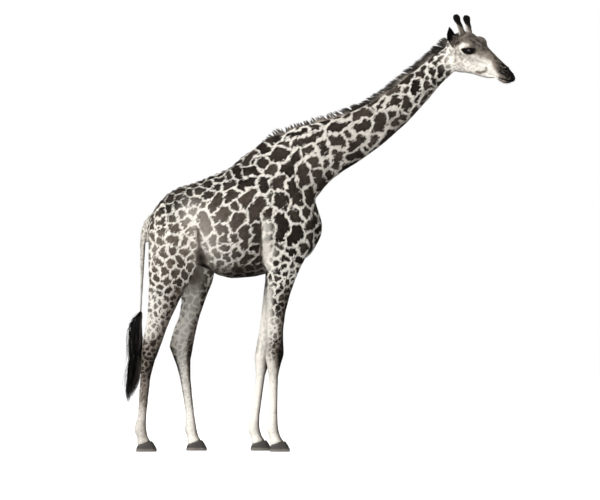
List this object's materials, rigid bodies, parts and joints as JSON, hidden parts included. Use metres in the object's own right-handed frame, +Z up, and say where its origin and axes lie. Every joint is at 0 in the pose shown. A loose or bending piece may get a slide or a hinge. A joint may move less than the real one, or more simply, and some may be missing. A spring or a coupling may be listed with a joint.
{
  "type": "giraffe",
  "caption": "Still, life-size giraffe standing with its neck stretched forward and head turned to its right, as a museum model.",
  "frame": {"origin": "on the ground, under the middle of the animal's outline", "axes": "+Z up, +X towards the head, +Y to the animal's left"},
  "size_m": [3.5408, 0.6704, 3.9659],
  "materials": {
    "coat": "short, close fur: dark brown jagged patches on a pale buff ground",
    "ossicone": "fur-covered horns, brown below, with black hair round the tips",
    "mane_hair": "short, stiff, upright brown hair, banded with buff",
    "tail_hair": "long, coarse black hair in locks",
    "eye": "wet, very dark brown",
    "hoof": "dark grey-brown horn, dull and faintly ringed"
  },
  "bodies": {
    "root": {"head": "coat", "neck": "coat", "trunk": "coat", "tail": "coat", "leg_front_right": "coat", "leg_front_left": "coat", "leg_hind_right": "coat", "leg_hind_left": "coat", "ear_right": "coat", "ear_left": "coat", "ossicone_right": "ossicone", "ossicone_left": "ossicone", "mane": "mane_hair", "tail_tuft": "tail_hair", "eye_right": "eye", "eye_left": "eye", "hoof_front_right_inner": "hoof", "hoof_front_right_outer": "hoof", "hoof_front_left_inner": "hoof", "hoof_front_left_outer": "hoof", "hoof_hind_right_inner": "hoof", "hoof_hind_right_outer": "hoof", "hoof_hind_left_inner": "hoof", "hoof_hind_left_outer": "hoof"}
  },
  "joints": []
}
